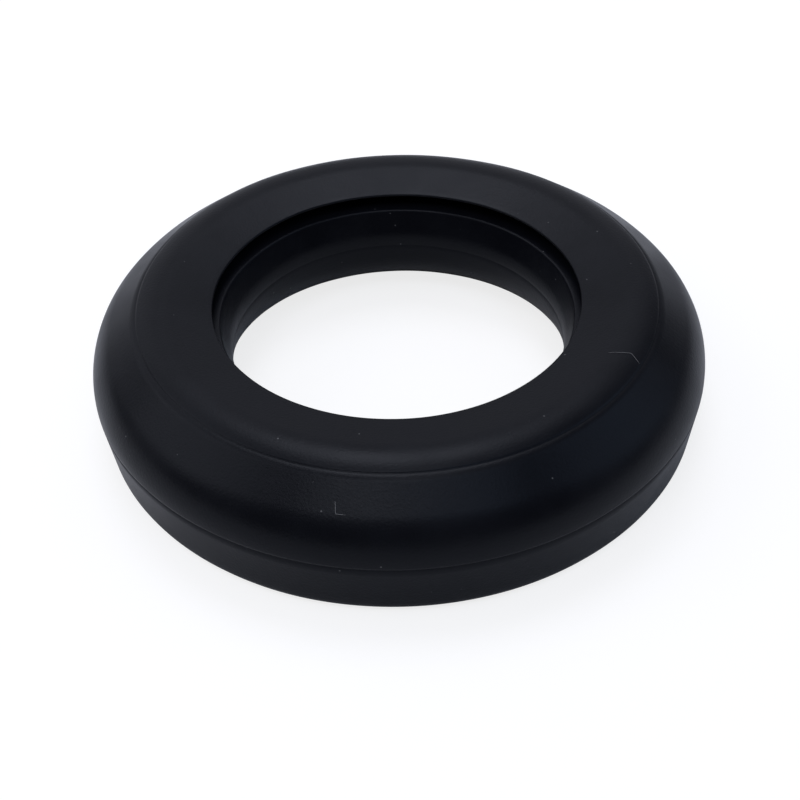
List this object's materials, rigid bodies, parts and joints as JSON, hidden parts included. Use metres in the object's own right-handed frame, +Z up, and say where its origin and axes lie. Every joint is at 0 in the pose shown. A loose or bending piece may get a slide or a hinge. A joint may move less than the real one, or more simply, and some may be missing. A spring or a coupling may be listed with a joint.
{
  "type": "ring cushion",
  "caption": "Thick ring cushion in matte silicone rubber, with a thin flange round its opening over a groove that grips the edge of a plate.",
  "frame": {"origin": "centre of the flat base, on the surface that the ring stands on", "axes": "+Z up along the ring's axis, towards the flange; X and Y lie in the base"},
  "size_m": [0.1, 0.1, 0.022],
  "materials": {
    "silicone": "matte"
  },
  "bodies": {
    "root": {"cushion_ring": "silicone"}
  },
  "joints": []
}
